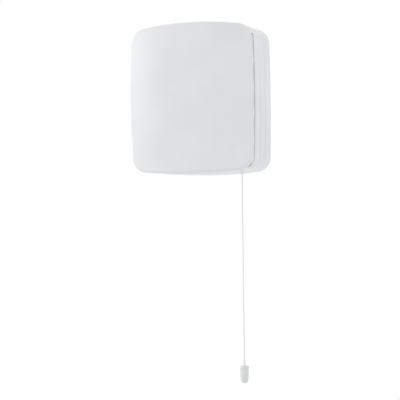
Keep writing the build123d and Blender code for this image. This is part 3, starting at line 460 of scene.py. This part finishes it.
# %% A finish and its sockets
class Value:
    """A number that a node gives, which can be used in sums."""

    def __init__(self, tree, socket):
        self.tree, self.socket = tree, socket

    def sum(self, operation, *numbers):
        """A Math node of any operation, fed with one to three numbers or values."""
        settings = {"operation": operation}
        return self.tree.node("ShaderNodeMath", settings, dict(enumerate(numbers)))[0]

    def __add__(self, other):
        return self.sum("ADD", self, other)

    def __sub__(self, other):
        return self.sum("SUBTRACT", self, other)

    def __rsub__(self, other):
        return self.sum("SUBTRACT", other, self)

    def __mul__(self, other):
        return self.sum("MULTIPLY", self, other)

    def __truediv__(self, other):
        return self.sum("DIVIDE", self, other)

    def __pow__(self, other):
        return self.sum("POWER", self, other)

    __radd__, __rmul__ = __add__, __mul__

    def ramp(self, low, high):
        """0 below one value and 1 above another, with a smooth step between."""
        settings = {"interpolation_type": "SMOOTHSTEP"}
        sockets = {0: self, 1: low, 2: high, 3: 0.0, 4: 1.0}
        return self.tree.node("ShaderNodeMapRange", settings, sockets)[0]

    def band(self, low, high, edge):
        """1 between two values and 0 outside them, with a smooth edge inside each."""
        return self.ramp(low, low + edge) * (1 - self.ramp(high - edge, high))


class Node:
    """A node whose outputs are read by name or number."""

    def __init__(self, tree, made):
        self.tree, self.made = tree, made

    def __getitem__(self, key):
        return Value(self.tree, self.made.outputs[key])


class Tree:
    """A node tree, emptied and then filled through one method."""

    def __init__(self, tree):
        self.tree = tree
        tree.nodes.clear()

    def node(self, kind, settings=None, sockets=None):
        """Any node: its settings are set first, then its sockets take a number, a colour or
        another node's value."""
        made = self.tree.nodes.new(kind)
        for key, value in (settings or {}).items():
            setattr(made, key, value)
        for key, value in (sockets or {}).items():
            if isinstance(value, Value):
                self.tree.links.new(value.socket, made.inputs[key])
            else:
                made.inputs[key].default_value = value
        return Node(self, made)


class Finish(Tree):
    """One material, built around a Principled shader."""

    def __init__(self, name):
        self.material = bpy.data.materials.new(name)
        self.material.use_nodes = True
        super().__init__(self.material.node_tree)
        self.shader = self.node("ShaderNodeBsdfPrincipled")
        self.output = self.node("ShaderNodeOutputMaterial", {}, {"Surface": self.shader["BSDF"]})
        self.place = self.node("ShaderNodeTexCoord")["Object"]

    def set(self, **sockets):
        """Sets or links sockets of the Principled shader, by name with _ for a space."""
        for key, value in sockets.items():
            socket = self.shader.made.inputs[key.replace("_", " ")]
            if isinstance(value, Value):
                self.tree.links.new(value.socket, socket)
            else:
                socket.default_value = value
        return self

    def noise(self, scale, detail=2.0, stretch=(1, 1, 1)):
        """Noise from 0 to 1, with features about 1 / scale metres across. A stretch above 1
        makes them shorter along its axis."""
        place = self.node("ShaderNodeMapping", {}, {"Vector": self.place, "Scale": stretch})
        sockets = {"Vector": place["Vector"], "Scale": scale, "Detail": detail}
        return self.node("ShaderNodeTexNoise", {}, sockets)["Fac"]

    def cells(self, scale):
        """Distance from the nearest point of a cell pattern, 0 at the point itself."""
        sockets = {"Vector": self.place, "Scale": scale}
        return self.node("ShaderNodeTexVoronoi", {}, sockets)["Distance"]

    def mix(self, share, first, second):
        """Colour between two, by a share from 0 to 1."""
        sockets = {0: share, 6: first, 7: second}
        return self.node("ShaderNodeMix", {"data_type": "RGBA"}, sockets)[2]

    def bump(self, height, distance):
        """Normal of a surface raised by a height from 0 to 1 times a distance in metres."""
        sockets = {"Height": height, "Distance": distance, "Strength": 1.0}
        return self.node("ShaderNodeBump", {}, sockets)["Normal"]

    def axis(self, letter):
        """The piece's x, y or z, in metres."""
        return self.node("ShaderNodeSeparateXYZ", {}, {0: self.place})[letter]


def shade(colour, factor):
    """A colour with its three numbers multiplied, as an RGBA tuple."""
    return (*[min(1.0, part * factor) for part in colour[:3]], 1.0)


# %% [markdown]
# ## Moulded plastics
# The casing is injection-moulded ABS with a satin skin. Close up that skin isn't mirror
# flat: the mould's polish leaves a fine orange peel, broad flow marks change the gloss a
# little, and handling dulls it in patches. Each is a noise at its own scale. The same
# recipe, with other numbers, gives the pale inner mouldings, the dark wheel, the nylon
# former and the switch.

# %% Plastics
casing_white = (0.80, 0.81, 0.83, 1)
broad_scale, patch_scale, speck_scale = 14, 65, 2200


def moulded(name, colour, roughness, peel=0.00002, peel_scale=900, drift=0.02, fleck=0, coat=0.0):
    """Colour C (1 +- drift broad noise), less a share of fine flecks. Roughness R plus
    broad and fine noise. Bump of fine noise, plus a tenth of it three times finer."""
    finish = Finish(name)
    broad = finish.noise(broad_scale, 3.0)
    patch = finish.noise(patch_scale, 2.0)
    fine = finish.noise(peel_scale, 2.0)
    finer = finish.noise(3 * peel_scale, 1.0)
    tint = finish.mix(broad.ramp(0.3, 0.7), shade(colour, 1 - drift), shade(colour, 1 + drift))
    if fleck:
        speck = finish.noise(speck_scale, 1.0).ramp(0.62, 0.74) * fleck
        tint = finish.mix(speck, tint, shade(colour, 0.45))
    rough = roughness + (broad - 0.5) * 0.06 + (patch - 0.5) * 0.08 + (fine - 0.5) * 0.05
    normal = finish.bump(fine + finer * 0.1, peel)
    finish.tint = tint
    return finish.set(Base_Color=tint, Roughness=rough, Normal=normal, Coat_Weight=coat,
                      Coat_Roughness=0.25, IOR=1.5)


finishes = {
    "white_abs": moulded("satin_white_casing", casing_white, 0.34, peel=0.000012, coat=0.12),
    "base_abs": moulded("satin_white_base", (0.80, 0.81, 0.825), 0.38, peel=0.000016),
    "grey_moulding": moulded("pale_inner_moulding", (0.60, 0.615, 0.63), 0.5, peel=0.00003,
                             peel_scale=700),
    "impeller_plastic": moulded("dark_wheel", (0.035, 0.036, 0.039), 0.46, peel=0.00003,
                                drift=0.12, fleck=0.5),
    "flap_plastic": moulded("thin_flap", (0.58, 0.595, 0.61), 0.45),
    "bobbin_nylon": moulded("natural_nylon", (0.66, 0.62, 0.50), 0.42),
    "terminal_plastic": moulded("terminal_nylon", (0.68, 0.68, 0.64), 0.44),
    "switch_plastic": moulded("switch_moulding", (0.66, 0.675, 0.675), 0.42),
    "pull_plastic": moulded("turned_pull", (0.74, 0.755, 0.765), 0.3, peel=0.000008, coat=0.2),
}
for name in ("bobbin_nylon", "terminal_plastic"):
    finishes[name].set(Subsurface_Weight=0.15, Subsurface_Radius=(1.0, 0.9, 0.8),
                       Subsurface_Scale=0.0015)
print(len(finishes), "plastics")

# %% [markdown]
# ## Painted light in the slot and the seam
# In the photograph the slot and the seam are pale, although little light can get in. White
# walls as thin as these let some light through, but tracing that would be slow and noisy, so
# the faces inside the slot and the seam get painted light instead: a faint glow, found by where
# they lie.

# %% Painted glow in the slot and the seam
half_width, half_height = 0.1142, 0.1307
side_bow = 0.0023
corner_round, corner_start = 0.0264, 0.1000
slot_reach = (0.0660, 0.0940)
slot_reach_edge = (0.0040, 0.0005)
slot_height = (-0.1160, 0.1088)
slot_height_edge = 0.0006
seam_reach = (0.0138, 0.0150)
seam_edge = 0.0002
skin_depth = (0.0012, 0.0028)
seam_glow = 0.2


# Painted light: a glow on the inner faces of the slot and the seam stands in for light that
# doesn't reach them.
def painted_slot_and_seam_glow(finish, slot_glow):
    """The glow is the casing's colour times a share. The seam's share is 1 in its band of
    reach, and the slot's is 1 in its bands of reach and height where the depth under the
    side wall is more than a skin. That depth is w - s (z / h)^2 - |x|, less what the round
    corner takes off, r - sqrt(r^2 - c^2), with c = max(|z| - corner_start, 0)."""
    x, z = finish.axis("X"), finish.axis("Z")
    reach = finish.axis("Y") * -1.0
    past = x.sum("MAXIMUM", z.sum("ABSOLUTE", z) - corner_start, 0.0)
    cut = corner_round - (corner_round ** 2 - past * past) ** 0.5
    bow = (z / half_height) * (z / half_height) * side_bow
    under = (half_width - cut - bow - x.sum("ABSOLUTE", x)).ramp(*skin_depth)
    behind = reach.ramp(slot_reach[0], slot_reach[0] + slot_reach_edge[0])
    before = 1 - reach.ramp(slot_reach[1] - slot_reach_edge[1], slot_reach[1])
    in_slot = behind * before * z.band(*slot_height, slot_height_edge)
    share = in_slot * under * slot_glow + reach.band(*seam_reach, seam_edge) * seam_glow
    glow = finish.mix(share, (0, 0, 0, 1), casing_white)
    return finish.set(Emission_Color=glow, Emission_Strength=1.0)


# Painted glow: the casing gets it in its slot and its seam, the base in its seam only.
painted_slot_and_seam_glow(finishes["white_abs"], slot_glow=0.45)
painted_slot_and_seam_glow(finishes["base_abs"], slot_glow=0.0)

# %% [markdown]
# ## Metals
# Screws are zinc plated, so they are bright and slightly blotched. The shaft and pins are
# ground, with scratches round them. Bearings are sintered bronze, full of pores that hold
# oil. Brass terminal screws are cut from bar. All use one recipe: a metallic colour, a
# mottle, and scratches from a noise stretched along one axis.

# %% Metals
uniform = (1, 1, 1)
blotch_scale, scratch_scale, pore_scale = 220, 900, 2600.0


def metal(name, colour, roughness, mottle=0.08, scratch=0.000006, stretch=(1, 40, 1), pores=0):
    """Metal colour C (1 +- mottle noise). Roughness R plus scratches. Pores darken it and
    dent it where a cell pattern is close to its points."""
    finish = Finish(name)
    blotch = finish.noise(blotch_scale, 3.0)
    lines = finish.noise(scratch_scale, 2.0, stretch)
    tint = finish.mix(blotch, shade(colour, 1 - mottle), shade(colour, 1 + mottle))
    height = lines
    if pores:
        hole = 1 - finish.cells(pore_scale).ramp(0.18, 0.34)
        tint = finish.mix(hole * pores, tint, shade(colour, 0.25))
        height = lines - hole * 2
    rough = roughness + (lines - 0.5) * 0.2 + (blotch - 0.5) * 0.1
    normal = finish.bump(height, scratch)
    return finish.set(Base_Color=tint, Metallic=1.0, Roughness=rough, Normal=normal)


finishes["steel"] = metal("ground_steel", (0.60, 0.61, 0.62), 0.26)
finishes["screw_zinc"] = metal("zinc_plate", (0.68, 0.69, 0.70), 0.32, 0.12, stretch=uniform)
finishes["die_cast"] = metal("die_casting", (0.58, 0.59, 0.60), 0.5, 0.1, 0.00003, uniform)
finishes["bronze"] = metal("sintered_bronze", (0.50, 0.34, 0.20), 0.48, stretch=uniform, pores=0.8)
finishes["brass"] = metal("turned_brass", (0.72, 0.56, 0.27), 0.28)

# %% [markdown]
# ## Laminations, tape, rubber and foam
# The motor's core is a stack of thin steel sheets, which shows as fine lines on its edges:
# a saw-tooth of the depth does that. The coil's tape is a yellow film with crossed
# threads. Rubber is matt, with a dusty bloom, and foam is a field of small cells.

# %% Laminations
sheet_thickness = 0.0005
rust_brown = (0.16, 0.10, 0.06, 1)
rust_scale, smear_scale = 90, 400


def laminated(name, colour):
    """With s the place along the stack in sheets, a line falls where its fraction is near
    0 or 1. Lines are darker and sunk, and each sheet has its own grey from its number."""
    finish = Finish(name)
    sheets = finish.axis("Y") / sheet_thickness
    part = sheets.sum("FRACT", sheets)
    line = part.sum("ABSOLUTE", part - 0.5).ramp(0.36, 0.48)
    number = sheets.sum("FLOOR", sheets)
    settings = {"noise_dimensions": "1D"}
    grey = finish.node("ShaderNodeTexWhiteNoise", settings, {"W": number})["Value"]
    rust = finish.noise(rust_scale, 4.0).ramp(0.58, 0.78)
    tint = finish.mix(grey, shade(colour, 0.85), shade(colour, 1.2))
    tint = finish.mix(rust * 0.25, tint, rust_brown)
    tint = finish.mix(line * 0.7, tint, shade(colour, 0.3))
    rough = 0.42 + rust * 0.25 + (finish.noise(smear_scale) - 0.5) * 0.15
    normal = finish.bump(1 - line, 0.00006)
    return finish.set(Base_Color=tint, Metallic=0.7, Roughness=rough, Normal=normal)


finishes["lamination"] = laminated("varnished_laminations", (0.17, 0.175, 0.18))


# %% Tape, rubber and foam
thread_rate = 5200.0
stain_scale, bloom_scale = 120, 160


def woven_tape(name, colour):
    """Threads are sin(k x) / 2 + sin(k z) / 2. Stains darken the film a little."""
    finish = Finish(name)
    along, across = finish.axis("X") * thread_rate, finish.axis("Z") * thread_rate
    threads = along.sum("SINE", along) * 0.5 + across.sum("SINE", across) * 0.5
    stain = finish.noise(stain_scale, 3.0).ramp(0.5, 0.8)
    tint = finish.mix(stain * 0.4, shade(colour, 1.0), shade(colour, 0.6))
    tint = finish.mix(threads.ramp(-0.6, 0.8) * 0.2, tint, shade(colour, 1.3))
    normal = finish.bump(threads, 0.00003)
    return finish.set(Base_Color=tint, Roughness=0.36 + stain * 0.2, Normal=normal)


def rubbery(name, colour, cell_scale, pore_depth, roughness):
    """Colour C with a paler bloom where a noise is high, darker and sunk at the cells'
    points. Deep cells make foam, and shallow ones rubber."""
    finish = Finish(name)
    cells = finish.cells(cell_scale)
    bloom = finish.noise(bloom_scale, 4.0).ramp(0.45, 0.8)
    tint = finish.mix(bloom * 0.35, shade(colour, 1.0), shade(colour, 2.2))
    tint = finish.mix(1 - cells.ramp(0.1, 0.5), tint, shade(colour, 0.6))
    return finish.set(Base_Color=tint, Roughness=roughness + (bloom - 0.5) * 0.1,
                      Normal=finish.bump(cells, pore_depth))


finishes["winding_tape"] = woven_tape("coil_tape", (0.50, 0.36, 0.07))
finishes["rubber"] = rubbery("grommet_rubber", (0.018, 0.018, 0.019), 3000.0, 0.00001, 0.72)
finishes["foam"] = rubbery("seal_foam", (0.045, 0.046, 0.05), 1500.0, 0.0002, 0.92)


# %% [markdown]
# ## Braided nylon
# The braid's shape is already in the cord's mesh. Its finish adds the single filaments,
# fine lines along each strand, a soft sheen, and a slight greying with handling towards
# the pull.

# %% Cord finish
filament_scale, grime_scale = 4200, 600
handled_length = 0.09
undyed_plastic = (0.90, 0.90, 0.90, 1)
pull_gap = 0.0001


def braided_nylon(name, colour):
    """Filaments are a noise stretched along the cord. Greying rises over the last part of
    the cord, from its place on z."""
    finish = Finish(name)
    filaments = finish.noise(filament_scale, 2.0, (1, 1, 0.2))
    handled = 1 - finish.axis("Z").ramp(cord_end, cord_end + handled_length)
    grime = handled * finish.noise(grime_scale, 3.0).ramp(0.35, 0.75)
    tint = finish.mix(filaments.ramp(0.3, 0.7), shade(colour, 0.9), shade(colour, 1.05))
    tint = finish.mix(grime * 0.12, tint, shade(colour, 0.6))
    rough = 0.6 + (filaments - 0.5) * 0.2
    finish.set(Base_Color=tint, Roughness=rough, Normal=finish.bump(filaments, 0.00002))
    return finish.set(Sheen_Weight=0.3, Sheen_Roughness=0.4)


def undyed_above(finish, level, undyed):
    """The bell above the pull is the same plastic undyed, so it is paler from a height up."""
    above = finish.axis("Z").ramp(level, level + 0.0004)
    return finish.set(Base_Color=finish.mix(above, finish.tint, undyed))


undyed_above(finishes["pull_plastic"], top + pull_gap, undyed_plastic)
finishes["cord_white"] = braided_nylon("braided_nylon", (0.86, 0.86, 0.865))

# %% Every solid and piece takes the finish of its slot
for name, node in nodes.items():
    node.data.materials.clear()
    node.data.materials.append(finishes[slot_of[name]].material)
for piece in (cord, knot, hidden_run, acorn, bell, coil):
    piece.data.materials.append(finishes[piece["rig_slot"]].material)
print(len(finishes), "finishes on", len(nodes), "solids")

# %% [markdown]
# ## Light and floor
# The photograph is a catalogue picture: pure white behind, a broad soft lamp on the left,
# a weak one in front, and gentle fill from everywhere else. The world gives the fill, and
# shows as plain white only to the camera and in reflections. The floor is far below the
# fan, and fades to the same white at its rim.

# %% World and lamps
fill_strength = 0.85
plain_white = (1.0, 1.0, 1.0, 1.0)
scene = bpy.context.scene


def watched_share(tree):
    """1 for the rays that the camera sees, straight, mirrored or through a clear solid, and
    0 for the rest."""
    rays = tree.node("ShaderNodeLightPath")
    seen = rays["Is Camera Ray"] + rays["Is Glossy Ray"] + rays["Is Transmission Ray"]
    return seen.ramp(0.0, 1.0)


scene.world = bpy.data.worlds.new("studio")
scene.world.use_nodes = True
sky = Tree(scene.world.node_tree)
strength = fill_strength + watched_share(sky) * (1 - fill_strength)
background = sky.node("ShaderNodeBackground", {}, {"Color": plain_white, "Strength": strength})
sky.node("ShaderNodeOutputWorld", {}, {"Surface": background["Background"]})


def soft_lamp(name, place, aim, side, power):
    """A square area lamp of a given side, turned so that it shines from place to aim."""
    lamp = bpy.data.lights.new(name, "AREA")
    lamp.shape, lamp.size, lamp.energy = "SQUARE", side, power
    holder = bpy.data.objects.new(name, lamp)
    turn = (Vector(aim) - Vector(place)).to_track_quat("-Z", "Y").to_matrix().to_4x4()
    holder.matrix_world = Matrix.Translation(place) @ turn
    scene.collection.objects.link(holder)


fan_middle = (0, -0.06, 0)
soft_lamp("key_left", (-2.0, -0.5, 0.4), fan_middle, 1.4, 8)
soft_lamp("fill_front", (0.6, -2.6, -0.3), fan_middle, 1.6, 2)

# %% Floor
floor_middle = (0, -0.05)
floor_drop = 0.42
floor_radius = 1.25
floor_rings, floor_segments = 24, 96
floor_colour = (0.86, 0.865, 0.87, 1)
fade_start, fade_end = 0.45, 0.97


def pale_floor():
    """A disc below the pull. Its finish is pale and matt, and the share of plain white
    that the camera sees grows with the distance from the middle, r^2 = x^2 + y^2. It is
    clear from below, so that a low view still shows the fan."""
    level = cad_box[0][2] - floor_drop
    radius = np.linspace(0, floor_radius, floor_rings)
    profile = np.stack([radius, np.full(floor_rings, level)], axis=-1)
    disc = grid_object("floor", turned_points(floor_middle, profile, floor_segments))
    finish = Finish("pale_floor")
    finish.set(Base_Color=floor_colour, Roughness=0.9)
    x, y = finish.axis("X"), finish.axis("Y")
    away = (x * x + y * y) ** 0.5 / floor_radius
    share = away.ramp(fade_start, fade_end) * watched_share(finish)
    white = finish.node("ShaderNodeEmission", {}, {"Color": plain_white, "Strength": 1.0})
    pale = finish.node("ShaderNodeMixShader", {},
                       {0: share, 1: finish.shader["BSDF"], 2: white["Emission"]})
    facing = finish.node("ShaderNodeNewGeometry")["Normal"]
    above = finish.node("ShaderNodeSeparateXYZ", {}, {0: facing})["Z"].ramp(-0.1, 0.1)
    clear = finish.node("ShaderNodeBsdfTransparent")["BSDF"]
    shown = finish.node("ShaderNodeMixShader", {}, {0: above, 1: clear, 2: pale[0]})[0]
    finish.tree.links.new(shown.socket, finish.output.made.inputs["Surface"])
    disc.data.materials.append(finish.material)
    return level


print("floor at", round(pale_floor(), 3), "m")

# %% [markdown]
# ## Close the lesson
# The view layer is brought up to date. The finished model must be no larger than
# the solids it dresses.

# %% Finish
bpy.context.view_layer.update()
